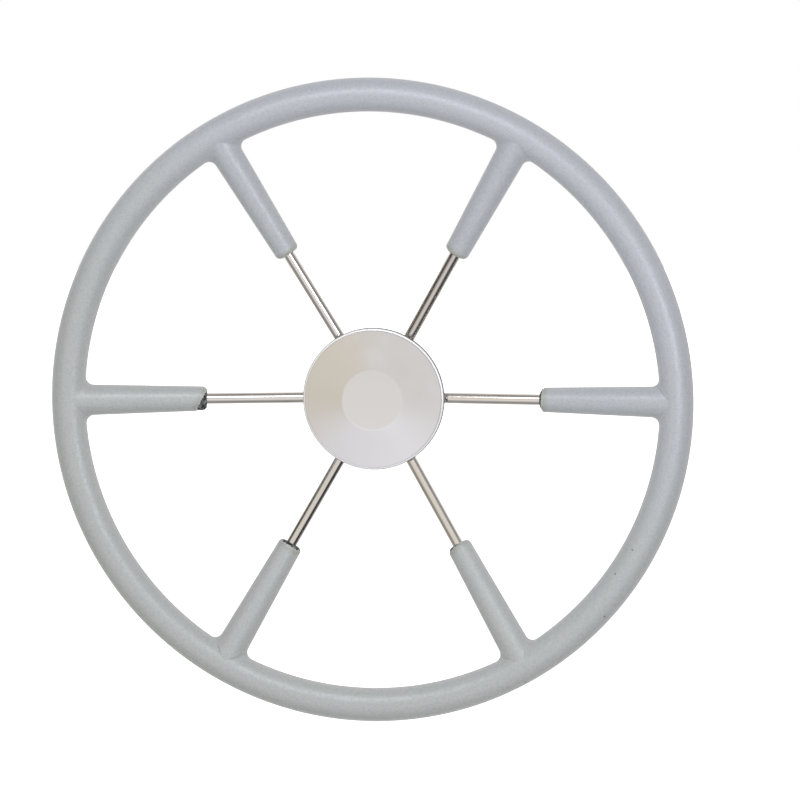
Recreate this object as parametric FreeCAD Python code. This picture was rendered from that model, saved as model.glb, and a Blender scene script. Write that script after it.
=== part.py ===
import FreeCAD, Part
import math
import os

# A dished six-spoke boat steering wheel. The wheel's axis is Y: the helmsman faces the -Y side,
# and the steering shaft leaves the hub towards +Y. Z is up. The origin is the centre of the
# hub's rear face, at the mouth of its bore. All sizes are millimetres and degrees.

# Rim: a round steel ring with a foam grip moulded over it
OUTSIDE_DIAMETER = 550.0
GRIP_DIAMETER = 28.7
RING_BAR_DIAMETER = 12.0

# Spokes: round bar, leaning forward from the hub to the rim
SPOKE_COUNT = 6
SPOKE_BAR_DIAMETER = 9.5
DISH_ANGLE = 8.2
SPOKE_SOCKET_DEPTH = 8.0

# Sleeves: the grip's tapered arms over the outer part of each spoke
SLEEVE_START_RADIUS = 143.0
SLEEVE_END_DIAMETER = 20.8
SLEEVE_BELOW_CREST = 0.65
SLEEVE_END_ROUND = 4.4
SLEEVE_ROOT_FILLET = 7.0

# Torn skin at the inner end of one sleeve
TORN_SPOKE = 3
SKIN_THICKNESS = 0.7
TEAR_LENGTH = 7.6
TEAR_SLANT = 28.0
TEAR_TURN = 12.0
TEAR_CORNER_ROUND = 4.6

# Hub boss: turned from bar, on a parallel keyed shaft with a nut in the front recess
SHAFT_DIAMETER = 19.05
SHAFT_CLEARANCE = 0.04
KEY_WIDTH = 4.76
KEYWAY_DEPTH = 2.4
BOSS_REAR_DIAMETER = 44.0
BOSS_REAR_LENGTH = 12.0
BOSS_BODY_DIAMETER = 56.0
BOSS_BODY_LENGTH = 24.0
BOSS_NOSE_DIAMETER = 46.0
BOSS_NOSE_LENGTH = 6.0
BOSS_CHAMFER = 1.2
NUT_RECESS_DIAMETER = 32.0
NUT_RECESS_DEPTH = 8.0
WELD_LEG = 2.6

# Hub cap: pressed sheet with a flat centre, a shallow cone and a turned-back skirt
CAP_DIAMETER = 121.5
CAP_SHEET = 1.2
CAP_FLAT_DIAMETER = 52.0
CAP_CONE_RISE = 6.2
CAP_EDGE_ROUND = 2.0
CAP_FLAT_BLEND = 9.0
CAP_SKIRT_DEPTH = 5.4

# Collar behind the cap, gripping the boss's nose through a square-cut rubber ring
COLLAR_WALL = 1.4
COLLAR_LENGTH = 9.4
COLLAR_CLEARANCE = 0.3
SEAL_WIDTH = 2.6
SEAL_DEPTH = 2.1
SEAL_GROOVE_SIDE_ROOM = 0.25

# Worked out from the sizes above
ORIGIN = FreeCAD.Vector(0, 0, 0)
X_AXIS = FreeCAD.Vector(1, 0, 0)
Y_AXIS = FreeCAD.Vector(0, 1, 0)
Z_AXIS = FreeCAD.Vector(0, 0, 1)
RING_RADIUS = (OUTSIDE_DIAMETER - GRIP_DIAMETER) / 2
SLEEVE_RIM_DIAMETER = GRIP_DIAMETER - 2 * SLEEVE_BELOW_CREST
DISH = math.radians(DISH_ANGLE)
SPOKE_ROOT_DEPTH = BOSS_REAR_LENGTH + BOSS_BODY_LENGTH / 2
SPOKE_APEX_DEPTH = SPOKE_ROOT_DEPTH - BOSS_BODY_DIAMETER / 2 * math.tan(DISH)
RIM_DEPTH = SPOKE_APEX_DEPTH + RING_RADIUS * math.tan(DISH)
SPOKE_PITCH = 360 / SPOKE_COUNT
SPOKE_START = (BOSS_BODY_DIAMETER / 2 - SPOKE_SOCKET_DEPTH) / math.cos(DISH)
SPOKE_END = RING_RADIUS / math.cos(DISH)
SLEEVE_START = SLEEVE_START_RADIUS / math.cos(DISH)
BORE_RADIUS = (SHAFT_DIAMETER + SHAFT_CLEARANCE) / 2
SHOULDER_DEPTH = BOSS_REAR_LENGTH + BOSS_BODY_LENGTH
NOSE_DEPTH = SHOULDER_DEPTH + BOSS_NOSE_LENGTH
NUT_SEAT_DEPTH = NOSE_DEPTH - NUT_RECESS_DEPTH
SEAL_MIDDLE_DEPTH = SHOULDER_DEPTH + BOSS_NOSE_LENGTH / 2
COLLAR_BORE_RADIUS = BOSS_NOSE_DIAMETER / 2 + COLLAR_CLEARANCE
GROOVE_RADIUS = COLLAR_BORE_RADIUS - SEAL_DEPTH
CAP_BACK_DEPTH = SHOULDER_DEPTH + COLLAR_LENGTH
CAP_FRONT_DEPTH = CAP_BACK_DEPTH + CAP_SHEET


def vector(radius, depth):
    """A point of a turned outline: its distance from the axis, and how far in front of the rear face."""
    return FreeCAD.Vector(radius, -depth, 0)


def turned(points):
    """Spin a closed outline of (radius, depth) points round the wheel's axis."""
    corners = [vector(radius, depth) for radius, depth in points]
    outline = Part.makePolygon(corners + corners[:1])
    return Part.Face(outline).revolve(ORIGIN, Y_AXIS, 360)


def on_spoke(shape, index):
    """Lean a shape that lies along +Z forward by the dish angle and turn it to its spoke."""
    placed = shape.copy()
    placed.rotate(ORIGIN, X_AXIS, DISH_ANGLE)
    placed.translate(vector(0, SPOKE_APEX_DEPTH))
    placed.rotate(ORIGIN, Y_AXIS, 90 - SPOKE_PITCH * index)
    return placed


def circular_edges(shape, radius, position, axis):
    """The full circles of one radius that lie at one place along an axis."""
    found = []
    for edge in shape.Edges:
        if not isinstance(edge.Curve, Part.Circle):
            continue
        same_radius = abs(edge.Curve.Radius - radius) < 0.001
        same_place = abs(edge.Curve.Center.dot(axis) - position) < 0.001
        if same_radius and same_place:
            found.append(edge)
    return found


def torus(bar_diameter):
    """A ring of round section on the rim's centre line, with its seam midway between two spokes."""
    ring = Part.makeTorus(RING_RADIUS, bar_diameter / 2, vector(0, RIM_DEPTH), Y_AXIS)
    ring.rotate(ORIGIN, Y_AXIS, SPOKE_PITCH / 2)
    return ring


def rim_ring():
    """The steel ring inside the grip."""
    return torus(RING_BAR_DIAMETER)


def spoke_bar(index):
    """Round bar from its socket in the boss to the ring's centre line."""
    bar = Part.makeCylinder(
        SPOKE_BAR_DIAMETER / 2, SPOKE_END - SPOKE_START, FreeCAD.Vector(0, 0, SPOKE_START), Z_AXIS)
    return on_spoke(bar, index)


def spoke(index):
    """A spoke, with its outer end coped to sit on the ring."""
    return spoke_bar(index).cut(rim_ring())


def sleeve(end_round):
    """A tapered sleeve along +Z, rounded at its inner end, reaching the ring's centre line."""
    length = SPOKE_END - SLEEVE_START
    cone = Part.makeCone(
        SLEEVE_END_DIAMETER / 2, SLEEVE_RIM_DIAMETER / 2, length,
        FreeCAD.Vector(0, 0, SLEEVE_START), Z_AXIS)
    rims = circular_edges(cone, SLEEVE_END_DIAMETER / 2, SLEEVE_START, Z_AXIS)
    return cone.makeFillet(end_round, rims)


def sleeve_root_edges(body):
    """The closed curves where a sleeve's cone runs into the rim."""
    found = []
    for edge in body.Edges:
        surfaces = [face.Surface for face in body.ancestorsOfType(edge, Part.Face)]
        cones = sum(isinstance(surface, Part.Cone) for surface in surfaces)
        rims = sum(isinstance(surface, Part.Toroid) for surface in surfaces)
        if cones == 1 and rims == 1 and edge.BoundBox.Center.distanceToPoint(ORIGIN) > SLEEVE_START:
            found.append(edge)
    return found


def torn_skin(index):
    """What is missing of a sleeve's skin: a shell round its inner end, cut off on a slant."""
    reach = TEAR_LENGTH + SLEEVE_END_DIAMETER
    start = FreeCAD.Vector(0, 0, SLEEVE_START - SKIN_THICKNESS)
    outside = Part.makeCylinder(SLEEVE_RIM_DIAMETER, reach, start, Z_AXIS)
    core_radius = SLEEVE_END_DIAMETER / 2 - SKIN_THICKNESS
    core = Part.makeCylinder(
        core_radius, reach + SKIN_THICKNESS, FreeCAD.Vector(0, 0, SLEEVE_START + SKIN_THICKNESS), Z_AXIS)
    ends = circular_edges(core, core_radius, SLEEVE_START + SKIN_THICKNESS, Z_AXIS)
    shell = outside.cut(core.makeFillet(TEAR_CORNER_ROUND, ends))
    wide = 4 * SLEEVE_RIM_DIAMETER
    keep = Part.makeBox(wide, wide, wide, FreeCAD.Vector(-wide / 2, -wide / 2, 0))
    keep.rotate(ORIGIN, Y_AXIS, TEAR_SLANT)
    keep.translate(FreeCAD.Vector(0, 0, SLEEVE_START + TEAR_LENGTH / 2))
    torn = shell.cut(keep)
    torn.rotate(ORIGIN, Z_AXIS, TEAR_TURN)
    return on_spoke(torn, index)


def rim_grip():
    """The foam moulding: rim, sleeves and blends in one, hollow where the steel frame lies."""
    body = torus(GRIP_DIAMETER)
    arm = sleeve(SLEEVE_END_ROUND)
    body = body.multiFuse([on_spoke(arm, index) for index in range(SPOKE_COUNT)])
    body = body.makeFillet(SLEEVE_ROOT_FILLET, sleeve_root_edges(body))
    frame = [rim_ring()] + [spoke_bar(index) for index in range(SPOKE_COUNT)]
    return body.cut(frame + [torn_skin(TORN_SPOKE)])


def weld(index):
    """The weld that runs round a spoke where it enters the boss."""
    surface = BOSS_BODY_DIAMETER / 2 / math.cos(DISH)
    radius = SPOKE_BAR_DIAMETER / 2
    bead = Part.makeCone(
        radius + 2 * WELD_LEG, radius, 2 * WELD_LEG, FreeCAD.Vector(0, 0, surface - WELD_LEG), Z_AXIS)
    return on_spoke(bead, index)


def hub_boss():
    """The boss: stepped outside, keyed bore, nut recess and seal groove, spoke sockets with welds."""
    rear = BOSS_REAR_DIAMETER / 2
    body = BOSS_BODY_DIAMETER / 2
    nose = BOSS_NOSE_DIAMETER / 2
    recess = NUT_RECESS_DIAMETER / 2
    bevel = BOSS_CHAMFER
    boss = turned([
        (BORE_RADIUS, 0), (rear - bevel, 0), (rear, bevel), (rear, BOSS_REAR_LENGTH),
        (body - bevel, BOSS_REAR_LENGTH), (body, BOSS_REAR_LENGTH + bevel),
        (body, SHOULDER_DEPTH - bevel), (body - bevel, SHOULDER_DEPTH), (nose, SHOULDER_DEPTH),
        (nose, NOSE_DEPTH - bevel / 2), (nose - bevel / 2, NOSE_DEPTH), (recess, NOSE_DEPTH),
        (recess, NUT_SEAT_DEPTH), (BORE_RADIUS, NUT_SEAT_DEPTH)])
    boss = boss.multiFuse([weld(index) for index in range(SPOKE_COUNT)])
    keyway = Part.makeBox(
        KEY_WIDTH, NUT_SEAT_DEPTH, BORE_RADIUS + KEYWAY_DEPTH,
        FreeCAD.Vector(-KEY_WIDTH / 2, -NUT_SEAT_DEPTH, 0))
    bars = [spoke_bar(index) for index in range(SPOKE_COUNT)]
    return boss.cut(bars + [keyway, seal_groove()])


def band(inner, outer, width):
    """A flat ring round the boss's nose, centred on the seal."""
    back = SEAL_MIDDLE_DEPTH - width / 2
    front = SEAL_MIDDLE_DEPTH + width / 2
    return turned([(inner, back), (outer, back), (outer, front), (inner, front)])


def seal_groove():
    """The square groove in the boss's nose that the rubber ring sits in, with a little room beside it."""
    return band(GROOVE_RADIUS, BOSS_NOSE_DIAMETER, SEAL_WIDTH + 2 * SEAL_GROOVE_SIDE_ROOM)


def cap_seal_ring():
    """The rubber ring, which just fills the space between the groove's floor and the collar."""
    return band(GROOVE_RADIUS, COLLAR_BORE_RADIUS, SEAL_WIDTH)


def cap_collar():
    """The short tube behind the cap: it seats on the boss's shoulder and meets the cap's back."""
    outer = COLLAR_BORE_RADIUS + COLLAR_WALL
    return turned([
        (COLLAR_BORE_RADIUS, SHOULDER_DEPTH), (outer, SHOULDER_DEPTH),
        (outer, CAP_BACK_DEPTH), (COLLAR_BORE_RADIUS, CAP_BACK_DEPTH)])


def bend(centre, radius, start, end):
    """An arc of the cap's section; its angles are measured from straight ahead towards the rim."""
    points = []
    for angle in (start, (start + end) / 2, end):
        points.append(vector(centre[0] + radius * math.sin(angle), centre[1] + radius * math.cos(angle)))
    return Part.Arc(*points).toShape()


def cap_side(inset):
    """One side of the cap's section, from the axis to the skirt's end, so far inside its front face."""
    outer = CAP_DIAMETER / 2
    flat = CAP_FLAT_DIAMETER / 2
    slope = math.atan2(CAP_CONE_RISE, outer - flat)
    flat_centre = (flat - CAP_FLAT_BLEND * math.tan(slope / 2), CAP_FRONT_DEPTH - CAP_FLAT_BLEND)
    edge_depth = CAP_FRONT_DEPTH - CAP_CONE_RISE
    edge_centre = (
        outer - CAP_EDGE_ROUND, edge_depth - CAP_EDGE_ROUND * math.tan((math.pi / 2 - slope) / 2))
    blend = bend(flat_centre, CAP_FLAT_BLEND - inset, 0, slope)
    edge = bend(edge_centre, CAP_EDGE_ROUND - inset, slope, math.pi / 2)
    start = vector(0, CAP_FRONT_DEPTH - inset)
    finish = vector(outer - inset, edge_depth - CAP_SKIRT_DEPTH)
    return [
        Part.makeLine(start, blend.firstVertex().Point), blend,
        Part.makeLine(blend.lastVertex().Point, edge.firstVertex().Point), edge,
        Part.makeLine(edge.lastVertex().Point, finish)]


def hub_cap():
    """The pressed cap: flat centre, shallow cone, rounded edge and skirt, all one sheet thick."""
    front = cap_side(0)
    back = cap_side(CAP_SHEET)
    skirt_end = Part.makeLine(front[-1].lastVertex().Point, back[-1].lastVertex().Point)
    on_axis = Part.makeLine(back[0].firstVertex().Point, front[0].firstVertex().Point)
    section = Part.Face(Part.Wire(front + [skirt_end] + back[::-1] + [on_axis]))
    return section.revolve(ORIGIN, Y_AXIS, 360)


def parts():
    """Every piece of the wheel by name."""
    pieces = {
        "rim_grip": rim_grip(),
        "rim_ring": rim_ring(),
        "hub_boss": hub_boss(),
        "hub_cap": hub_cap(),
        "cap_collar": cap_collar(),
        "cap_seal_ring": cap_seal_ring(),
    }
    for index in range(SPOKE_COUNT):
        pieces[f"spoke_{index + 1}"] = spoke(index)
    return pieces


os.makedirs("parts", exist_ok=True)
for name, shape in parts().items():
    shape.exportStep(f"parts/{name}.step")
    print(name, len(shape.Solids), shape.isValid(), round(shape.Volume, 1))
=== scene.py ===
import math

import bmesh
import bpy
import numpy as np
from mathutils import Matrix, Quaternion, Vector


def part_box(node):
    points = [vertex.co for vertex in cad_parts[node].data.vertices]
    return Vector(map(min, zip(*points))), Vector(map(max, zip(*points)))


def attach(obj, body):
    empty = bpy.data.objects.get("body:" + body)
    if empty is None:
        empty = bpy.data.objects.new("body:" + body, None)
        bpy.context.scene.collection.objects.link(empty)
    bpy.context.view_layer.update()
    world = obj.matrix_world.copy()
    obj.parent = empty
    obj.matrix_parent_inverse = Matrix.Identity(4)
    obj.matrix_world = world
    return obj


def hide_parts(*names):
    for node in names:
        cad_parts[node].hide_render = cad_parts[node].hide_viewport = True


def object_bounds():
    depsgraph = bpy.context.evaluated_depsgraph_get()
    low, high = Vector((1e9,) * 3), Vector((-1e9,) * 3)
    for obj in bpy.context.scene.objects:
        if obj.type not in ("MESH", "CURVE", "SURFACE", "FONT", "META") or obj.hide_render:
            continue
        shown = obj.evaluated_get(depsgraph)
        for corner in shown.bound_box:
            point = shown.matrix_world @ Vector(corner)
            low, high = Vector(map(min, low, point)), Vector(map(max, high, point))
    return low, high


# A boat steering wheel dressed for its picture: grained foam grip, polished rods, pressed cap.
# The wheel's axis is Y and its front faces -Y. Lengths are metres.

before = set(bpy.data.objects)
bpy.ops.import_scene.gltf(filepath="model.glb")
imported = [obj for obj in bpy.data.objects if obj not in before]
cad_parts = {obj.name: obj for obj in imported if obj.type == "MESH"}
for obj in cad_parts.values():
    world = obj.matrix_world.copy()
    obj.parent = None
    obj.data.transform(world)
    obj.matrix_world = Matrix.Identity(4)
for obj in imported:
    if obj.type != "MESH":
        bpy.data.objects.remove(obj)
cad_low, cad_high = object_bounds()

# Sizes read from the frame
ring_low, ring_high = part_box("rim_ring")
grip_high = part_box("rim_grip")[1]
rod_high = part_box("spoke_1")[1]
cap_low, cap_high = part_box("hub_cap")
RING_BAR = (ring_high.y - ring_low.y) / 2
RING_RADIUS = ring_high.x - RING_BAR
RIM_PLANE = (ring_high.y + ring_low.y) / 2
GRIP_RADIUS = grip_high.x - RING_RADIUS
ROD_RADIUS = rod_high.z
CAP_RADIUS = cap_high.x
CAP_FRONT = cap_low.y
CAP_BACK = cap_high.y

# Spokes and sleeves, as the frame has them
MM = 0.001
SPOKES = 6
PITCH = 2 * math.pi / SPOKES
DISH = math.radians(8.2)
APEX = RIM_PLANE + RING_RADIUS * math.tan(DISH)
SLEEVE_START = 143.0 * MM / math.cos(DISH)
SLEEVE_RIM = RING_RADIUS / math.cos(DISH)
SLEEVE_END_RADIUS = 10.4 * MM
SLEEVE_RIM_RADIUS = 13.7 * MM
SLEEVE_END_ROUND = 4.4 * MM
TAPER = (SLEEVE_RIM_RADIUS - SLEEVE_END_RADIUS) / (SLEEVE_RIM - SLEEVE_START)
ROOT_SIDE_FILLET = 7.0 * MM
ROOT_CREST_FILLET = 4.0 * MM
ROD_INNER_END = 20.0 * MM / math.cos(DISH)

# The mouth of a sleeve from its closed bore out: how deep each row lies, and its room round the rod
MOUTH = [(4.0 * MM, 0.12 * MM), (1.4 * MM, 0.12 * MM), (0.5 * MM, 0.27 * MM), (0.0, 0.67 * MM)]

# Torn sleeve ends by spoke: how far the tear reaches, its slope, its turn round the sleeve, its rags, and
# how steeply the end is worn to a cone (9 and more leave it round)
SKIN = 0.7 * MM
TEARS = {
    0: (2.9 * MM, 3.5, 10.0, 0.40 * MM, 1.6),
    1: (0.9 * MM, 8.0, 20.0, 0.70 * MM, 4.0),
    2: (0.3 * MM, 6.0, 160.0, 0.60 * MM, 9.0),
    3: (4.0 * MM, 28.0, 12.0, 0.90 * MM, 9.0),
    4: (2.4 * MM, 4.0, 60.0, 1.10 * MM, 3.0),
    5: (1.9 * MM, 12.0, 190.0, 0.80 * MM, 9.0),
}
WHOLE = -9.0
TEAR_SOFTNESS = 0.9 * MM
UNTORN_ROOM = 0.3 * MM

# The bare foam under the skin: its lumps, how finely they lie across and along, and its rounded end
LUMP_DEPTH = 0.4 * MM
LUMPS_ACROSS = 2.2
LUMPS_ALONG = 1.9
BARE_ROOM = 0.4 * MM
CORE_DROP = 3.6 * MM
CORE_LENGTH = 4.6 * MM
CORE_CURVE = 2.5

# How sharply the skin is creased where each sleeve stands on the rim, by spoke. The crease and the ridge
# beside it lie at a share of the blend's length and have a width in the same shares.
CREASES = {0: 1.2, 1: 0.2, 2: 0.6, 3: 0.6, 4: 1.7, 5: 0.8}
CREASE_AT = 0.45
CREASE_WIDTH = 0.13
RIDGE_AT = 0.75
RIDGE_WIDTH = 0.11
RIDGE_SHARE = 0.5

# Dark specks on the front of the rim, by place in millimetres
SPECKS = [(131.5, -238.7), (199.5, -181.5), (208.9, -144.7), (223.5, -124.2)]
SPECK_RADIUS = 1.0 * MM
SPECK_DEPTH = 4.0 * MM
SPECK_COLOUR = (0.15, 0.16, 0.135)

# Cap, as the frame has it
CAP_SHEET = 1.2 * MM
CAP_FLAT_RADIUS = 26.0 * MM
CAP_RISE = 6.2 * MM
CAP_EDGE_ROUND = 2.0 * MM
CAP_FLAT_BLEND = 9.0 * MM
CAP_RIM_ROUND = 0.2 * MM

# The photograph's view: where the camera stands, and where the middle of the rim lies in its picture
VIEW_AZIMUTH = 7.59
VIEW_ELEVATION = 5.97
VIEW_ROLL = -0.54
VIEW_DISTANCE = 4.9
PICTURE_SIZE = 800
PIXEL = 0.850 * MM
WHEEL_AT_X = 370.65
WHEEL_AT_Y = 400.90
FILM_WIDTH = 36.0

# Light: lamps by width, height, watts and direction (azimuth and elevation in degrees), and the even
# light of the room
LAMPS = {
    "upper_lamp": (1.0, 0.45, 7.6, (-1.0, 35.0)),
    "right_lamp": (0.45, 0.45, 5.2, (34.0, 4.0)),
    "left_lamp": (0.6, 0.6, 1.6, (-78.0, 38.0)),
}
LAMP_DISTANCE = 1.6
LAMP_COLOUR = (0.83, 0.87, 1.0)
WHITE = (1.0, 1.0, 1.0)
ROOM_LIGHT = 0.456
ROOM_DEPTH_LIGHT = 0.325

# What the metal sees of the room: a pale middle, darker sides, dark corners on a slant, a glow from
# below, a beige stretch on the left, and white behind the wheel. Directions and edges are in degrees;
# the dark corners and the backdrop fade in between two cosines.
PALE_MIDDLE = 0.845
PALE_DIRECTION = (0.0, 14.0)
PALE_EDGE = (28.0, 60.0)
SIDE_LEVEL = 0.34
DARK_LEVEL = 0.04
DARK_TURN = 150.0
DARK_COSINES = (0.1, 0.85)
BACKDROP_COSINES = (0.15, 0.55)
GLOW = 0.36
GLOW_DIRECTION = (-8.0, -31.0)
GLOW_EDGE = (4.0, 33.0)
GLOW_COLOUR = (0.93, 0.94, 1.0)
BEIGE_DIRECTION = (-34.0, 2.0)
BEIGE_EDGE = (10.0, 36.0)
BEIGE_COLOUR = (1.0, 0.955, 0.85)

# Floor
FLOOR_HALF = 12.0
FLOOR_DROP = 0.6
FLOOR_COLOUR = (0.85, 0.85, 0.85)

# Foam colours
# The bluish colour is painted lamp light on the upper right of the grip, and the warm colour its lower left
FOAM_BLUISH_LIT = (0.502, 0.513, 0.529)
FOAM_WARM_TINT = (0.505, 0.515, 0.481)
FOAM_PORE = (0.34, 0.35, 0.35)
TORN_DARK = (0.008, 0.011, 0.009)
TORN_LIGHT = (0.25, 0.265, 0.24)
TORN_EDGE = (0.64, 0.66, 0.58)
TORN_FRINGE = (0.42, 0.43, 0.375)

# Foam patterns: cells to the metre, and how deep the skin's swell and grain are
CLOUD_SCALE = 14.0
SWELL_SCALE = 70.0
LUMP_SCALE = 420.0
GRAIN_SCALE = 560.0
SWELL_DEPTH = 0.5 * MM
GRAIN_DEPTH = 0.4 * MM

# Where the skin turns bluish towards the upper right, a painted tint of the bluish lamp light mixed with
# random clouding, how far the pores show, and the roughness of whole and torn foam
LAMP_TINT_EDGE = (0.0, 0.40)
PORE_EDGE = (0.40, 0.68)
PORE_SHARE = 0.36
FOAM_ROUGHNESS = (0.30, 0.37)
FOAM_SHEEN = 0.8
TORN_ROUGHNESS = 0.5

# Where the look changes near a tear, in millimetres inside it: open foam, pale edge and darker fringe
OPEN_EDGE = (-0.10, 0.25)
PALE_SKIN_EDGE = (-0.8, -0.4)
FRINGE_EDGE = (-6.5, -2.0)
FRINGE_LUMPS = 4.0

# Turned steel of the hub
HUB_COLOUR = (0.70, 0.68, 0.66)
HUB_ROUGHNESS = 0.25
HUB_MARKS = 300.0
HUB_MARK_DEPTH = 0.02 * MM

# Rod finish, and how dull and brown each rod is, by spoke
ROD_COLOUR = (0.765, 0.716, 0.667)
ROD_ROUGHNESS = 0.11
ROD_MARKS = 500.0
TARNISH_ROUGHNESS = 0.3
TARNISHED = (0.28, 0.245, 0.22)
TARNISH = {0: 0.0, 1: 0.34, 2: 0.12, 3: 0.08, 4: 0.04, 5: 0.0}

# Cap finish: a satin face, painted shade inside the pale lip, which is partly painted highlight, and a dark
# line of painted shade outside it
CAP_COLOUR = (0.71, 0.685, 0.668)
CAP_ROUGHNESS = 0.145
CAP_CLOUD_SCALE = 45.0
# The lip's pale colour is partly a brushed band and partly painted highlight of the bright edge
LIP_PALE_HIGHLIGHT_COLOUR = (1.0, 0.975, 0.96)
LIP_WIDTH = 2.0 * MM
LIP_DEPTH = 0.4 * MM
LIP_DULLNESS = 0.7
# Painted shade in a ring just inside the lip, and how strong it is from lower left to upper right
LIP_SHADE_COLOUR = (0.30, 0.29, 0.28)
LIP_SHADE_SHARE = (0.15, 0.5)
# A thin dark line of painted shade round the cap's edge
SHADE_LINE_COLOUR = (0.09, 0.088, 0.085)
SHADE_LINE_DULLNESS = 0.8
EDGE_ROUGHNESS = 0.3

# How finely the surfaces are divided
AROUND_LONG = 28
AROUND_SHORT = 44
PATCH_HALF = 30.0 * MM
PATCH_ROWS = 14
BLEND_ROWS = 14
TUBE_ROWS = 50
END_ROWS = 13
CLOSE_PART = 0.1
CLOSE_ROWS = 21
CONE_ROWS = 23
ROD_ROWS = 24
ROD_SIDES = 64
CAP_SIDES = 128
BLEND_STEPS = 6
EDGE_STEPS = 9
JOIN_DISTANCE = 0.004 * MM
SHORTEST_EDGE = 0.001 * MM


class Value:
    """A shader socket that Python expressions work on; each operator adds its Math node."""

    def __init__(self, nodes, socket):
        self.nodes = nodes
        self.socket = socket

    def math(self, operation, first, second):
        return self.nodes.node("ShaderNodeMath", {"operation": operation}, {0: first, 1: second})

    def __add__(self, other):
        return self.math("ADD", self, other)

    def __radd__(self, other):
        return self.math("ADD", other, self)

    def __sub__(self, other):
        return self.math("SUBTRACT", self, other)

    def __rsub__(self, other):
        return self.math("SUBTRACT", other, self)

    def __mul__(self, other):
        return self.math("MULTIPLY", self, other)

    def __rmul__(self, other):
        return self.math("MULTIPLY", other, self)

    def __truediv__(self, other):
        return self.math("DIVIDE", self, other)


class Nodes:
    """A node tree, with one method for each kind of step that the finishes use."""

    def __init__(self, tree):
        self.tree = tree

    def plug(self, item, socket):
        """Link a value to a socket, or set the socket to a number or colour."""
        if isinstance(item, Value):
            self.tree.links.new(item.socket, socket)
        elif isinstance(item, tuple) and len(item) == 3 and socket.type == "RGBA":
            socket.default_value = (*item, 1.0)
        else:
            socket.default_value = item

    def node(self, kind, settings=None, inputs=None, output=0):
        """Any node: its settings come first, then the values or links of its sockets."""
        made = self.tree.nodes.new(kind)
        for name, value in (settings or {}).items():
            if name == "stops":
                set_stops(made.color_ramp, value)
            else:
                setattr(made, name, value)
        for name, item in (inputs or {}).items():
            self.plug(item, made.inputs[name])
        return Value(self, made.outputs[output])

    def parts(self, vector):
        """The x, y and z of a vector."""
        return [self.node("ShaderNodeSeparateXYZ", None, {0: vector}, axis) for axis in "XYZ"]

    def noise(self, place, scale, detail=2.0, roughness=0.5):
        """Noise of so many cells to the metre, from 0 to 1."""
        return self.node(
            "ShaderNodeTexNoise", None,
            {"Vector": place, "Scale": scale, "Detail": detail, "Roughness": roughness}, "Fac")

    def ramp(self, value, stops):
        """A colour ramp of (place, colour) stops."""
        return self.node("ShaderNodeValToRGB", {"stops": stops}, {"Fac": value}, "Color")

    def fade(self, value, start, end, low=0.0, high=1.0):
        """Carry a value from start..end smoothly to low..high, held at the ends."""
        return self.node(
            "ShaderNodeMapRange", {"interpolation_type": "SMOOTHSTEP"},
            {"Value": value, "From Min": start, "From Max": end, "To Min": low, "To Max": high},
            "Result")

    def mix(self, share, first, second):
        """Mix two colours."""
        return self.node("ShaderNodeMix", {"data_type": "RGBA"}, {0: share, 6: first, 7: second}, 2)

    def bump(self, height, distance, strength=1.0, below=None):
        """Turn a height into a bent normal, over another bump if there is one."""
        inputs = {"Height": height, "Distance": distance, "Strength": strength}
        if below:
            inputs["Normal"] = below
        return self.node("ShaderNodeBump", None, inputs)


class Finish(Nodes):
    """A material round one Principled shader."""

    def __init__(self, name, colour, roughness, metallic=0.0, specular=0.5):
        self.material = bpy.data.materials.new(name)
        self.material.use_nodes = True
        super().__init__(self.material.node_tree)
        self.shader = self.tree.nodes["Principled BSDF"]
        self.set("Base Color", colour)
        self.set("Roughness", roughness)
        self.set("Metallic", metallic)
        self.set("Specular IOR Level", specular)

    def set(self, name, item):
        """Feed one socket of the Principled shader."""
        self.plug(item, self.shader.inputs[name])

    def object_place(self):
        """Object coordinates: the same metres as the frame."""
        return self.node("ShaderNodeTexCoord", output="Object")

    def attribute(self, name):
        """A number that the piece carries at its points."""
        return self.node("ShaderNodeAttribute", {"attribute_name": name}, output="Fac")


def set_stops(ramp, stops):
    """Give a colour ramp its stops."""
    while len(ramp.elements) < len(stops):
        ramp.elements.new(1.0)
    for element, (place, colour) in zip(ramp.elements, stops):
        element.position = place
        element.color = (*colour, 1.0)


def smooth_step(value):
    """From 0 to 1 with level ends."""
    held = np.clip(value, 0.0, 1.0)
    return held * held * (3 - 2 * held)


def spin(points, angle):
    """Turn points about the wheel's axis, anticlockwise as the helmsman sees them, from the top."""
    x = points[..., 0] * math.cos(angle) - points[..., 2] * math.sin(angle)
    z = points[..., 0] * math.sin(angle) + points[..., 2] * math.cos(angle)
    return np.stack([x, points[..., 1], z], axis=-1)


def from_top(index):
    """How far spoke number index is turned from the top of the wheel."""
    return index * PITCH - math.pi / 2


def grid_faces(rows, columns, wrapped, first):
    """Four-sided faces between neighbouring points of a grid that is stored row by row."""
    last = columns if wrapped else columns - 1
    row, column = np.meshgrid(np.arange(rows - 1), np.arange(last), indexing="ij")
    here = row * columns + column
    beside = row * columns + (column + 1) % columns
    return first + np.stack([here, beside, beside + columns, here + columns], -1).reshape(-1, 4)


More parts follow.
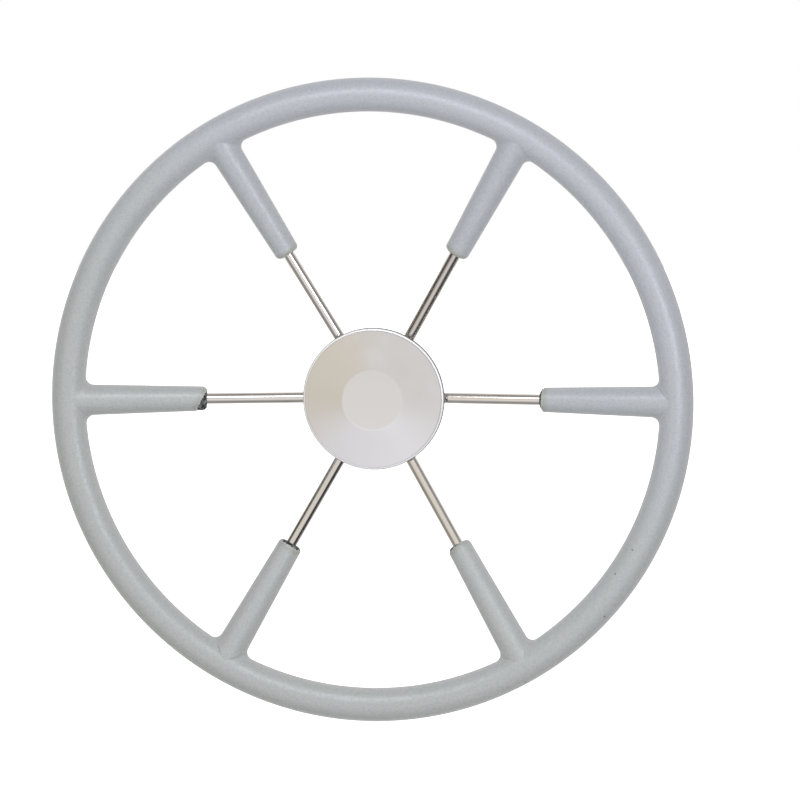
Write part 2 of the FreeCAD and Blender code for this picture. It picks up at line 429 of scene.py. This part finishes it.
def build(name, grids, finish, nodes, attributes=None, sharp=None):
    """Make one piece from grids of points, each (points, wrapped, flipped), joined where they meet."""
    points = []
    faces = []
    first = 0
    for grid, wrapped, flipped in grids:
        rows, columns = grid.shape[:2]
        found = grid_faces(rows, columns, wrapped, first)
        faces.append(found[:, ::-1] if flipped else found)
        points.append(grid.reshape(-1, 3))
        first += rows * columns
    mesh = bpy.data.meshes.new(name)
    mesh.from_pydata(np.concatenate(points), [], np.concatenate(faces))
    for label, values in (attributes or {}).items():
        layer = mesh.attributes.new(label, "FLOAT", "POINT")
        layer.data.foreach_set("value", np.concatenate([v.ravel() for v in values]).astype(np.float32))
    merge(mesh)
    mesh.shade_smooth()
    if sharp:
        mesh.set_sharp_from_angle(angle=math.radians(sharp))
    mesh.materials.append(finish.material)
    piece = bpy.data.objects.new(name, mesh)
    bpy.context.scene.collection.objects.link(piece)
    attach(piece, "root")
    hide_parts(*nodes)


def merge(mesh):
    """Join points that lie on each other, drop the faces that this flattens, and turn the rest outwards."""
    work = bmesh.new()
    work.from_mesh(mesh)
    bmesh.ops.remove_doubles(work, verts=work.verts, dist=JOIN_DISTANCE)
    bmesh.ops.dissolve_degenerate(work, edges=work.edges, dist=SHORTEST_EDGE)
    bmesh.ops.recalc_face_normals(work, faces=work.faces)
    work.to_mesh(mesh)
    work.free()


def patch_edge():
    """Points evenly round the rim patch that a sleeve stands on: across it, and round the tube.

    A rectangle of half sides PATCH_HALF and half the tube's circumference, in metres."""
    half_round = math.pi * GRIP_RADIUS
    across = np.linspace(-1, 1, AROUND_LONG, endpoint=False)
    around = np.linspace(-1, 1, AROUND_SHORT, endpoint=False)
    x = np.concatenate([np.full(AROUND_SHORT, 1.0), -across, np.full(AROUND_SHORT, -1.0), across])
    y = np.concatenate([around, np.full(AROUND_LONG, 1.0), -around, np.full(AROUND_LONG, -1.0)])
    return x * PATCH_HALF, y * half_round, np.arctan2(y, x)


def sleeve_point(along, angle, radius):
    """A point round a sleeve's axis: so far from the hub, at an angle round it, at a radius.

    The axis rises from the apex and leans forward by the dish; angle 0 is sideways, 90 to the back."""
    x = radius * np.cos(angle)
    y = APEX - along * math.sin(DISH) + radius * np.sin(angle) * math.cos(DISH)
    z = along * math.cos(DISH) + radius * np.sin(angle) * math.sin(DISH)
    return np.stack(np.broadcast_arrays(x, y, z), axis=-1)


def sleeve_radius(along):
    """The sleeve's cone: its end radius plus the taper for each metre along."""
    return SLEEVE_END_RADIUS + TAPER * (along - SLEEVE_START)


def rim_point(across, around):
    """A point of the rim's tube: across is the angle round the wheel, around the angle round the tube.

    Around is 0 on the inside of the rim and half a turn on its outside, and grows to the back."""
    reach = RING_RADIUS - GRIP_RADIUS * np.cos(around)
    x = reach * np.sin(across)
    y = RIM_PLANE + GRIP_RADIUS * np.sin(around)
    z = reach * np.cos(across)
    return np.stack(np.broadcast_arrays(x, y, z), axis=-1)


def rim_angles(points):
    """The two angles of the nearest place on the rim's tube."""
    reach = np.hypot(points[..., 0], points[..., 2])
    across = np.arctan2(points[..., 0], points[..., 2])
    return across, np.arctan2(points[..., 1] - RIM_PLANE, RING_RADIUS - reach)


def rim_normal(points):
    """The tube's outward direction at points near it."""
    across, around = rim_angles(points)
    inward = -np.cos(around)
    return np.stack([inward * np.sin(across), np.sin(around), inward * np.cos(across)], axis=-1)


def sleeve_normal(angle):
    """The cone's outward direction: square to its sloping side."""
    tilt = math.atan(TAPER)
    out = sleeve_point(0.0, angle, 1.0) - sleeve_point(0.0, angle, 0.0)
    along = sleeve_point(1.0, 0.0, 0.0) - sleeve_point(0.0, 0.0, 0.0)
    return math.cos(tilt) * out - math.sin(tilt) * along


def unit(vectors):
    """Vectors made one long."""
    return vectors / np.linalg.norm(vectors, axis=-1, keepdims=True)


def dot(first, second):
    """Dot product along the last axis, kept as a column."""
    return np.sum(first * second, axis=-1, keepdims=True)


def meeting(angle):
    """Where each straight line of the cone runs into the tube, by halving the stretch it lies in."""
    low = np.full(angle.shape, SLEEVE_RIM - 3 * GRIP_RADIUS)
    high = np.full(angle.shape, SLEEVE_RIM)
    for _ in range(40):
        middle = (low + high) / 2
        points = sleeve_point(middle, angle, sleeve_radius(middle))
        reach = np.hypot(points[:, 0], points[:, 2]) - RING_RADIUS
        inside = np.hypot(reach, points[:, 1] - RIM_PLANE) < GRIP_RADIUS
        low = np.where(inside, low, middle)
        high = np.where(inside, middle, high)
    return low


def root_blend(angle):
    """The rounded joint of sleeve and rim: the meeting line, the blend's edge on the cone, the handles of
    its curve, its edge on the tube and that edge's two angles.

    A ball that rolls between two surfaces touches each at radius x tan(half the turn) from their
    meeting line. The radius is larger at the sides than over the crest."""
    along = meeting(angle)
    line = sleeve_point(along, angle, sleeve_radius(along))
    cone = sleeve_normal(angle)
    tube = rim_normal(line)
    course = unit(np.cross(cone, tube))
    on_cone = np.cross(cone, course)
    on_cone = unit(on_cone * np.sign(dot(on_cone, tube)))
    on_tube = np.cross(tube, course)
    on_tube = unit(on_tube * np.sign(dot(on_tube, cone)))
    turn = np.arccos(np.clip(dot(cone, tube), -1, 1))
    side = np.cos(angle)[:, None] ** 2
    radius = ROOT_CREST_FILLET + (ROOT_SIDE_FILLET - ROOT_CREST_FILLET) * side
    reach = radius * np.tan(turn / 2)
    start = line + reach * on_cone
    end_across, end_around = rim_angles(line + reach * on_tube)
    end = rim_point(end_across, end_around)
    end_normal = rim_normal(end)
    leave = unit(on_tube - dot(on_tube, end_normal) * end_normal)
    handle = radius * np.tan(turn / 4) * 4 / 3
    return line, start, start - handle * on_cone, end - handle * leave, end, end_across, end_around


def sleeve_profile(angle):
    """Rows of a sleeve from its closed bore, over its end and along its rounded edge, as (along, radius).

    The edge is a quarter circle that runs into the cone. The mouth round the rod is opened a little."""
    inside = [(MOUTH[0][0], 0.0)] + [(depth, ROD_RADIUS + room) for depth, room in MOUTH]
    rows = [(SLEEVE_START + depth, np.full(angle.shape, radius)) for depth, radius in inside]
    corner = SLEEVE_END_RADIUS - SLEEVE_END_ROUND
    rows.append((SLEEVE_START, (rows[-1][1] + corner) / 2))
    for turn in np.linspace(0, math.pi / 2, END_ROWS):
        along = SLEEVE_START + SLEEVE_END_ROUND * (1 - math.cos(turn))
        radius = sleeve_radius(along) - SLEEVE_END_ROUND * (1 - math.sin(turn))
        rows.append((along, np.full(angle.shape, radius)))
    return rows


def sleeve_rows(index, angle, start):
    """A sleeve's surface from its bore to the blend at its root, and how far its points lie in the tear.

    Its rows lie along the cone, close together near the end, and drift to the blend's edge."""
    rows = sleeve_profile(angle)
    cone_start = SLEEVE_START + SLEEVE_END_ROUND
    offset = start - sleeve_point(0.0, 0.0, 0.0)
    last_along = dot(offset, sleeve_point(1.0, 0.0, 0.0) - sleeve_point(0.0, 0.0, 0.0))[:, 0]
    back = sleeve_point(0.0, math.pi / 2, 1.0) - sleeve_point(0.0, 0.0, 0.0)
    last_angle = np.arctan2(dot(offset, back)[:, 0], offset[:, 0])
    drift = (last_angle - angle + math.pi) % (2 * math.pi) - math.pi
    grid = [(np.broadcast_to(along, angle.shape), angle, radius) for along, radius in rows]
    close_shares = np.linspace(0, CLOSE_PART, CLOSE_ROWS + 1)[1:]
    for share in np.concatenate([close_shares, np.linspace(CLOSE_PART, 1, CONE_ROWS + 1)[1:]]):
        along = cone_start + (last_along - cone_start) * share
        grid.append((along, angle + drift * share ** 3, sleeve_radius(along)))
    along = np.stack([row[0] for row in grid])
    turned = np.stack([row[1] for row in grid])
    radius = np.stack([row[2] for row in grid])
    bare, along, radius = tear(along, turned, radius, *TEARS[index])
    return sleeve_point(along, turned, radius), bare


def ripple(first, second):
    """An uneven wave in two directions, about -1 to 1, from a few sines."""
    wave = np.sin(first * 1.7 + 2.1 * np.sin(second * 1.3 + 0.4))
    wave = wave + 0.6 * np.sin(second * 3.1 - first * 2.3 + 1.1)
    wave = wave + 0.4 * np.sin(first * 5.3 + second * 4.7 + 2.6)
    return wave / 2


def tear(along, angle, radius, reach, slope, turn, depth_of_rags, worn):
    """Take the skin off the sleeve's end below a slanting, ragged line, and roughen what is bare.

    A worn end stays inside a cone that opens from the rod. Also gives how far each point lies inside
    the tear, in millimetres, from WHOLE on good skin."""
    depth = along - SLEEVE_START
    mouth = ROD_RADIUS + MOUTH[-1][1]
    cone = np.maximum(mouth, mouth + worn * depth)
    radius = np.where(radius > mouth, np.minimum(radius, cone), radius)
    side = radius * np.cos(angle - math.radians(turn))
    front = radius * np.sin(angle - math.radians(turn))
    rags = depth_of_rags * ripple(side / MM, front / MM)
    edge = reach - side * math.tan(math.radians(slope)) + rags - depth
    torn = smooth_step(edge / TEAR_SOFTNESS + 0.5)
    outside = radius > ROD_RADIUS + UNTORN_ROOM
    lumps = ripple(LUMPS_ACROSS * side / MM + 1.0, (LUMPS_ACROSS * front + LUMPS_ALONG * depth) / MM)
    drop = CORE_DROP * (1 - np.clip(depth / CORE_LENGTH, 0, 1)) ** CORE_CURVE
    core = np.minimum(radius, SLEEVE_END_RADIUS - SKIN - drop) + LUMP_DEPTH * lumps
    core = np.maximum(core, ROD_RADIUS + BARE_ROOM)
    radius = np.where(outside, radius + (core - radius) * torn, radius)
    along = np.where(outside, along + torn * np.maximum(0, SKIN - depth), along)
    return np.clip(edge / MM, WHOLE, -WHOLE), along, radius


def grip_grids():
    """The whole grip as grids: six sleeves, each with its rim patch, and the tube between them.

    The blend is a Bezier curve between its edges, drawn to the meeting line where the skin is creased."""
    edge_x, edge_y, angle = patch_edge()
    edge_across = edge_x / RING_RADIUS
    edge_around = edge_y / GRIP_RADIUS
    line, start, lean_a, lean_b, end, end_across, end_around = root_blend(angle)
    around = np.linspace(-math.pi, math.pi, AROUND_SHORT + 1)
    first_across = PATCH_HALF / RING_RADIUS
    across = np.linspace(first_across, PITCH - first_across, TUBE_ROWS)
    tube = rim_point(across[:, None], around[None, :])
    crest = np.sin(angle)[:, None] ** 2
    grids = []
    bare_values = []
    for index in range(SPOKES):
        sleeve, bare = sleeve_rows(index, angle, start)
        share = np.linspace(0, 1, BLEND_ROWS + 1)[1:, None, None]
        blend = ((1 - share) ** 3 * start + 3 * share * (1 - share) ** 2 * lean_a
                 + 3 * share ** 2 * (1 - share) * lean_b + share ** 3 * end)
        ridge = RIDGE_SHARE * np.exp(-((share - RIDGE_AT) / RIDGE_WIDTH) ** 2)
        fold = np.exp(-((share - CREASE_AT) / CREASE_WIDTH) ** 2) - ridge
        blend = blend + (line - blend) * CREASES[index] * crest * fold
        share = np.linspace(0, 1, PATCH_ROWS + 1)[1:, None]
        patch = rim_point(end_across + (edge_across - end_across) * share,
                          end_around + (edge_around - end_around) * share)
        surface = np.concatenate([sleeve, blend, patch])
        rest = np.full((len(surface) - len(bare), len(angle)), WHOLE)
        grids.append((spin(surface, from_top(index)), True, False))
        grids.append((spin(tube, from_top(index)), False, True))
        bare_values += [np.concatenate([bare, rest]), np.full(tube.shape[:2], WHOLE)]
    return grids, bare_values


def lathe(profile, sides):
    """Spin (radius, y) points round the wheel's axis: a grid of rows, one for each point."""
    turn = np.linspace(0, 2 * math.pi, sides, endpoint=False)
    radius = np.array([p[0] for p in profile])[:, None]
    y = np.array([p[1] for p in profile])[:, None]
    return np.stack(np.broadcast_arrays(radius * np.cos(turn), y, radius * np.sin(turn)), axis=-1)


def arc(centre, radius, start, end, steps):
    """Points of a circular arc in (radius, y), from start to end in degrees."""
    angles = np.radians(np.linspace(start, end, steps))
    return [(centre[0] + radius * math.cos(a), centre[1] + radius * math.sin(a)) for a in angles]


def between(start, end):
    """Two points close to the ends of a straight stretch, so that its shading stays even."""
    return [tuple(a + (b - a) * share for a, b in zip(start, end)) for share in (0.02, 0.98)]


def cap_profile():
    """The cap's section: front from the centre out, round the edge, down the skirt and back inside."""
    slope = math.degrees(math.atan2(CAP_RISE, CAP_RADIUS - CAP_FLAT_RADIUS))
    rise = math.radians(slope)
    blend = (CAP_FLAT_RADIUS - CAP_FLAT_BLEND * math.tan(rise / 2), CAP_FRONT + CAP_FLAT_BLEND)
    corner_y = CAP_FRONT + CAP_RISE
    inset = CAP_EDGE_ROUND * math.tan((math.pi / 2 - rise) / 2)
    edge = (CAP_RADIUS - CAP_EDGE_ROUND, corner_y + inset)
    front = [(0.0, CAP_FRONT), (blend[0] / 2, CAP_FRONT)]
    front += arc(blend, CAP_FLAT_BLEND, -90, -90 + slope, BLEND_STEPS)
    edge_front = arc(edge, CAP_EDGE_ROUND, -90 + slope, 0, EDGE_STEPS)
    front += between(front[-1], edge_front[0]) + edge_front
    back = arc(edge, CAP_EDGE_ROUND - CAP_SHEET, 0, -90 + slope, EDGE_STEPS)
    back += arc(blend, CAP_FLAT_BLEND - CAP_SHEET, -90 + slope, -90, BLEND_STEPS)
    back += [(blend[0] / 2, CAP_FRONT + CAP_SHEET), (0.0, CAP_FRONT + CAP_SHEET)]
    inside = CAP_RADIUS - CAP_SHEET
    skirt = [(CAP_RADIUS, CAP_BACK - CAP_RIM_ROUND), (CAP_RADIUS - CAP_RIM_ROUND, CAP_BACK),
             (inside + CAP_RIM_ROUND, CAP_BACK), (inside, CAP_BACK - CAP_RIM_ROUND)]
    return front + skirt + back


def rod_grid(index):
    """A straight round rod, closed at both ends, from its socket to the ring, with its length as the rows."""
    along = np.linspace(ROD_INNER_END, SLEEVE_RIM - RING_BAR, ROD_ROWS)
    radius = np.full(along.shape, ROD_RADIUS)
    along = np.concatenate([along[:1], along, along[-1:]])[:, None]
    radius = np.concatenate([[0.0], radius, [0.0]])[:, None]
    turn = np.linspace(0, 2 * math.pi, ROD_SIDES, endpoint=False)[None, :]
    return spin(sleeve_point(along, turn, radius), from_top(index))


def foam_finish():
    """Light grey foam skin: fine pebbled grain, faint mottling, dark open foam where it is torn."""
    foam = Finish("foam_skin", FOAM_WARM_TINT, FOAM_ROUGHNESS[0], specular=FOAM_SHEEN)
    place = foam.object_place()
    bare = foam.attribute("bare")
    torn = foam.fade(bare, *OPEN_EDGE)
    cloud = foam.noise(place, CLOUD_SCALE, 3.0)
    grain = foam.noise(place, GRAIN_SCALE, 3.0, 0.6)
    lumps = foam.noise(place, LUMP_SCALE)
    right, back, up = foam.parts(place)
    # Painted lamp light: the skin turns bluish towards the upper right and warmer towards the lower left,
    # broken by random clouding
    skin = foam.mix(foam.fade(up + right * 0.6 + cloud * 0.3, *LAMP_TINT_EDGE), FOAM_WARM_TINT, FOAM_BLUISH_LIT)
    skin = foam.mix(foam.fade(grain, *PORE_EDGE, 0.0, PORE_SHARE), skin, FOAM_PORE)
    fringe = foam.fade(bare + (lumps - 0.5) * FRINGE_LUMPS, *FRINGE_EDGE)
    skin = foam.mix(fringe, skin, TORN_FRINGE)
    skin = foam.mix(foam.fade(bare + lumps - 0.5, *PALE_SKIN_EDGE), skin, TORN_EDGE)
    front = foam.fade(back, RIM_PLANE, RIM_PLANE - SPECK_DEPTH)
    for x, z in SPECKS:
        aside = (right - x * MM) * (right - x * MM) + (up - z * MM) * (up - z * MM)
        skin = foam.mix(foam.fade(aside, SPECK_RADIUS ** 2, 0.0) * front, skin, SPECK_COLOUR)
    open_foam = foam.ramp(lumps, [(0.42, TORN_DARK), (0.68, TORN_LIGHT)])
    foam.set("Base Color", foam.mix(torn, skin, open_foam))
    foam.set("Roughness", foam.fade(grain, 0.3, 0.7, *FOAM_ROUGHNESS) + torn * TORN_ROUGHNESS)
    swell = foam.bump(foam.noise(place, SWELL_SCALE), SWELL_DEPTH, 0.25)
    foam.set("Normal", foam.bump(grain, GRAIN_DEPTH, 0.7, swell))
    return foam


def polishing(steel, roughness, scale):
    """Polishing marks, so many to the metre, and the roughness that varies with them."""
    marks = steel.noise(steel.object_place(), scale, 3.0, 0.6)
    return marks, steel.fade(marks, 0.3, 0.75, roughness * 0.8, roughness * 1.25)


def hub_finish():
    """Turned stainless steel of the hub, with marks that can be felt."""
    hub = Finish("hub_steel", HUB_COLOUR, HUB_ROUGHNESS, metallic=1.0)
    marks, gloss = polishing(hub, HUB_ROUGHNESS, HUB_MARKS)
    hub.set("Roughness", gloss)
    hub.set("Normal", hub.bump(marks, HUB_MARK_DEPTH, 0.3))
    return hub


def rod_finish():
    """Polished rod steel, duller and browner where a rod is tarnished."""
    rod = Finish("rod_steel", ROD_COLOUR, ROD_ROUGHNESS, metallic=1.0)
    tarnish = rod.attribute("tarnish")
    gloss = polishing(rod, ROD_ROUGHNESS, ROD_MARKS)[1]
    rod.set("Base Color", rod.mix(tarnish, ROD_COLOUR, TARNISHED))
    rod.set("Roughness", gloss + tarnish * TARNISH_ROUGHNESS)
    return rod


def cap_finish():
    """Satin pressed steel, faintly clouded, with a brushed pale lip that is partly painted highlight, painted
    shade inside the lip, and a dark line of painted shade round its edge.

    Rings are told apart by the square of the distance from the axis, and by the depth behind the cone."""
    cap = Finish("cap_steel", CAP_COLOUR, CAP_ROUGHNESS, metallic=1.0)
    place = cap.object_place()
    right, back, up = cap.parts(place)
    reach = right * right + up * up
    depth = back - CAP_FRONT - CAP_RISE

    def ring(inner, outer):
        """0 to 1 between two distances in from the cap's edge, as shares of the lip's width."""
        return cap.fade(reach, (CAP_RADIUS - inner * LIP_WIDTH) ** 2, (CAP_RADIUS - outer * LIP_WIDTH) ** 2)

    behind = cap.fade(depth, LIP_DEPTH, 1.6 * LIP_DEPTH)
    # The pale lip round the edge: partly a brushed band, partly painted highlight
    lip = ring(1.0, 0.7) * (1.0 - behind)
    # A thin dark line of painted shade round the edge, just behind the lip
    line = ring(0.5, 0.3) * behind * cap.fade(depth, 5 * LIP_DEPTH, 7 * LIP_DEPTH, 1.0, 0.0)
    # Painted shade on the face just inside the lip, stronger towards the upper right
    toward_lamp = cap.fade(right + up * 0.4, -0.6 * CAP_RADIUS, 0.8 * CAP_RADIUS, *LIP_SHADE_SHARE)
    face = cap.mix(ring(1.6, 1.0) * toward_lamp, CAP_COLOUR, LIP_SHADE_COLOUR)
    cap.set("Base Color", cap.mix(line, cap.mix(lip, face, LIP_PALE_HIGHLIGHT_COLOUR), SHADE_LINE_COLOUR))
    cap.set("Metallic", 1.0 - lip * LIP_DULLNESS - line * SHADE_LINE_DULLNESS)
    cloud = cap.noise(place, CAP_CLOUD_SCALE)
    gloss = cap.fade(cloud, 0.3, 0.7, CAP_ROUGHNESS - 0.02, CAP_ROUGHNESS + 0.03)
    cap.set("Roughness", gloss + (lip + line) * EDGE_ROUGHNESS)
    return cap


def aim(thing, target, roll=0.0):
    """Turn a lamp or camera to look at a point with its top up, then roll it about its view, in degrees."""
    turn = (Vector(target) - thing.location).to_track_quat("-Z", "Y")
    thing.rotation_mode = "QUATERNION"
    thing.rotation_quaternion = turn @ Quaternion((0, 0, 1), math.radians(roll))


def outward(azimuth, elevation):
    """The direction from the wheel so far to the right and so far up, in degrees, as its front sees it."""
    right = math.radians(azimuth)
    up = math.radians(elevation)
    return Vector((math.sin(right) * math.cos(up), -math.cos(right) * math.cos(up), math.sin(up)))


def make_lamp(name, width, height, watts, direction):
    """A soft bluish lamp that faces the wheel."""
    middle = Vector((0, RIM_PLANE, 0))
    data = bpy.data.lights.new(name, "AREA")
    data.shape = "RECTANGLE"
    data.size = width
    data.size_y = height
    data.energy = watts
    data.color = LAMP_COLOUR
    lamp = bpy.data.objects.new(name, data)
    lamp.location = middle + outward(*direction) * LAMP_DISTANCE
    lamp.visible_camera = False
    aim(lamp, middle)
    bpy.context.scene.collection.objects.link(lamp)


def make_camera():
    """A long lens from the upper right, with the wheel a little left of the middle."""
    middle = Vector((0, RIM_PLANE, 0))
    back = outward(VIEW_AZIMUTH, VIEW_ELEVATION)
    right = Vector((math.cos(math.radians(VIEW_AZIMUTH)), math.sin(math.radians(VIEW_AZIMUTH)), 0))
    above = back.cross(right)
    aside = right * (PICTURE_SIZE / 2 - WHEEL_AT_X) + above * (WHEEL_AT_Y - PICTURE_SIZE / 2)
    data = bpy.data.cameras.new("camera")
    data.sensor_width = FILM_WIDTH
    data.lens = FILM_WIDTH * VIEW_DISTANCE / (PICTURE_SIZE * PIXEL)
    data.clip_end = 100.0
    camera = bpy.data.objects.new("camera", data)
    camera.location = middle + back * VIEW_DISTANCE
    aim(camera, middle + aside * PIXEL, VIEW_ROLL)
    bpy.context.scene.collection.objects.link(camera)
    bpy.context.scene.camera = camera


def near(room, way, direction, edge):
    """1 near a direction, falling to 0 between two angles from it, in degrees.

    The closeness of two directions is their dot product, the cosine of the angle between them."""
    toward = outward(*direction)
    closeness = way[0] * toward.x + way[1] * toward.y + way[2] * toward.z
    inner, outer = (math.cos(math.radians(angle)) for angle in edge)
    return room.fade(closeness, outer, inner)


def metal_level(room, way):
    """How bright the room looks in the steel, by direction.

    The dark corners follow the cosine of twice the angle round the wheel, turned by DARK_TURN."""
    right, back, up = way
    aside = right * right + up * up + 0.001
    turn = math.radians(2 * DARK_TURN)
    slant = ((right * right - up * up) * math.cos(turn) + right * up * 2 * math.sin(turn)) / aside
    sides = SIDE_LEVEL - room.fade(slant, *DARK_COSINES, 0.0, SIDE_LEVEL - DARK_LEVEL)
    front = sides + near(room, way, PALE_DIRECTION, PALE_EDGE) * (PALE_MIDDLE - sides)
    front = front + near(room, way, GLOW_DIRECTION, GLOW_EDGE) * GLOW
    return front + room.fade(back, *BACKDROP_COSINES) * (1.0 - front)


def make_world():
    """White for the camera, a room for the metal, and plain light for everything else."""
    world = bpy.data.worlds.new("studio")
    world.use_nodes = True
    bpy.context.scene.world = world
    room = Nodes(world.node_tree)
    way = room.parts(room.node("ShaderNodeTexCoord", output="Generated"))
    camera = room.node("ShaderNodeLightPath", output="Is Camera Ray")
    glossy = room.node("ShaderNodeLightPath", output="Is Glossy Ray")
    through = room.node("ShaderNodeLightPath", output="Is Transmission Ray")
    plain = ROOM_LIGHT + way[1] * way[1] * ROOM_DEPTH_LIGHT
    level = plain + glossy * (metal_level(room, way) - plain)
    level = level + (camera + through) * (1.0 - level)
    beige = glossy * near(room, way, BEIGE_DIRECTION, BEIGE_EDGE)
    glow = glossy * near(room, way, GLOW_DIRECTION, GLOW_EDGE)
    colour = room.mix(glow, room.mix(beige, WHITE, BEIGE_COLOUR), GLOW_COLOUR)
    background = world.node_tree.nodes["Background"]
    room.plug(level, background.inputs["Strength"])
    room.plug(colour, background.inputs["Color"])


def make_floor():
    """A plain pale floor well below the wheel, which the camera sees white and the metal doesn't see."""
    mesh = bpy.data.meshes.new("floor")
    signs = [(-1, -1), (1, -1), (1, 1), (-1, 1)]
    corners = [(x * FLOOR_HALF, y * FLOOR_HALF, cad_low.z - FLOOR_DROP) for x, y in signs]
    mesh.from_pydata(corners, [], [(0, 1, 2, 3)])
    floor = bpy.data.objects.new("floor", mesh)
    floor.visible_glossy = False
    bpy.context.scene.collection.objects.link(floor)
    paint = Finish("floor_paint", FLOOR_COLOUR, 0.9)
    camera = paint.node("ShaderNodeLightPath", output="Is Camera Ray")
    paint.set("Emission Color", paint.mix(camera, (0.0, 0.0, 0.0), WHITE))
    paint.set("Emission Strength", 1.0)
    mesh.materials.append(paint.material)


def make_wheel():
    """Every piece of the wheel that is dressed here."""
    foam = foam_finish()
    rod_steel = rod_finish()
    cap_steel = cap_finish()
    hub_steel = hub_finish()
    rubber = Finish("seal_rubber", (0.02, 0.02, 0.02), 0.6)
    grids, bare = grip_grids()
    build("foam_grip", grids, foam, ["rim_grip"], {"bare": bare})
    for index in range(SPOKES):
        grid = rod_grid(index)
        tarnish = {"tarnish": [np.full(grid.shape[:2], TARNISH[index])]}
        build(f"rod_{index + 1}", [(grid, True, False)], rod_steel, [f"spoke_{index + 1}"],
              tarnish)
    cap = lathe(cap_profile(), CAP_SIDES)
    build("pressed_cap", [(cap, True, False)], cap_steel, ["hub_cap"], sharp=50)
    hidden = {"rim_ring": hub_steel, "hub_boss": hub_steel, "cap_collar": hub_steel, "cap_seal_ring": rubber}
    for node, finish in hidden.items():
        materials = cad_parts[node].data.materials
        materials.clear()
        materials.append(finish.material)


make_wheel()
make_floor()
make_world()
for name, lamp in LAMPS.items():
    make_lamp(name, *lamp)
make_camera()
bpy.context.scene.view_settings.view_transform = "Standard"
